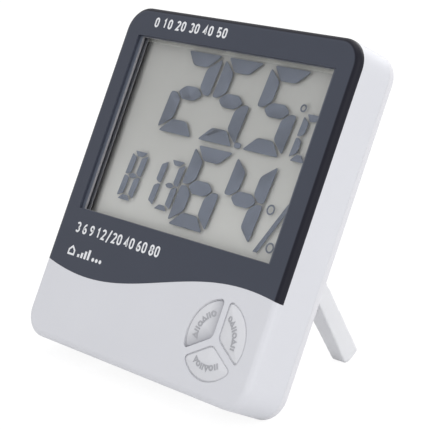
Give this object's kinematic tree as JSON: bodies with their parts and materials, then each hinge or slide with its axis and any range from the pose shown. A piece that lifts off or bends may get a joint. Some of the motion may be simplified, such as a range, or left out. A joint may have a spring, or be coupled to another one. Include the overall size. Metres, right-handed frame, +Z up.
{
  "type": "weather station clock",
  "caption": "Slim leaning desk clock with a large digital display, three keys round a rib and a fold-out two-legged stand.",
  "frame": {"origin": "on the surface it stands on, under the middle of its own box", "axes": "+Z up, the display faces -Y and leans back towards +Y, +X to the viewer's right"},
  "size_m": [0.1, 0.0712, 0.1037],
  "materials": {
    "pale_plastic": "fine moulded satin",
    "cover_plastic": "fine moulded satin",
    "dark_plastic": "satin, slate blue-grey",
    "key_plastic": "satin",
    "stand_plastic": "satin",
    "clear_window": "clear",
    "display_glass": "clear",
    "display_ink": "dark liquid crystal",
    "reflector": "pale grey, matt",
    "white_plastic": "moulded",
    "rubber": "soft",
    "board": "solder resist",
    "epoxy": "cast resin",
    "steel": "plain",
    "brass": "plain",
    "ceramic": "fired",
    "sensor_white": "moulded",
    "cell_wrap": "plain printed sleeve",
    "wire_red": "soft sleeve"
  },
  "bodies": {
    "case": {"front_shell": "pale_plastic", "display_bezel": "dark_plastic", "display_window": "clear_window", "lcd_cell": "display_glass", "lcd_segments": "display_ink", "lcd_reflector": "reflector", "lcd_holder": "white_plastic", "zebra_strip": "rubber", "main_board": "board", "driver_chip": "epoxy", "crystal": "steel", "chip_parts": "ceramic", "humidity_sensor": "sensor_white", "temperature_sensor": "epoxy", "buzzer_disc": "brass", "key_pad": "rubber", "rear_cover": "cover_plastic", "battery_cell": "cell_wrap", "battery_spring": "steel", "battery_contact": "steel", "lead_wires": "wire_red", "case_screws": "steel", "board_screws": "steel"},
    "upper_left_key": {"upper_left_key": "key_plastic"},
    "right_key": {"right_key": "key_plastic"},
    "lower_key": {"lower_key": "key_plastic"},
    "battery_door": {"battery_door": "cover_plastic"},
    "stand": {"stand": "stand_plastic"}
  },
  "joints": [
    {"name": "stand_hinge", "type": "hinge", "parent": "case", "child": "stand", "pos_m": [0, 0.00376, 0.0559], "axis": [1, 0, 0], "range_deg": [-54.3, 0]},
    {"name": "battery_door_hinge", "type": "hinge", "parent": "case", "child": "battery_door", "pos_m": [0, 0.00271, 0.04997], "axis": [1, 0, 0], "range_deg": [0, 75]},
    {"name": "upper_left_key_press", "type": "slide", "parent": "case", "child": "upper_left_key", "axis": [0, 0.9026, -0.4305], "range_m": [0, 0.0007], "stiffness_N_per_m": 300, "springref_m": -0.001},
    {"name": "right_key_press", "type": "slide", "parent": "case", "child": "right_key", "axis": [0, 0.9026, -0.4305], "range_m": [0, 0.0007], "stiffness_N_per_m": 300, "springref_m": -0.001},
    {"name": "lower_key_press", "type": "slide", "parent": "case", "child": "lower_key", "axis": [0, 0.9026, -0.4305], "range_m": [0, 0.0007], "stiffness_N_per_m": 300, "springref_m": -0.001}
  ]
}
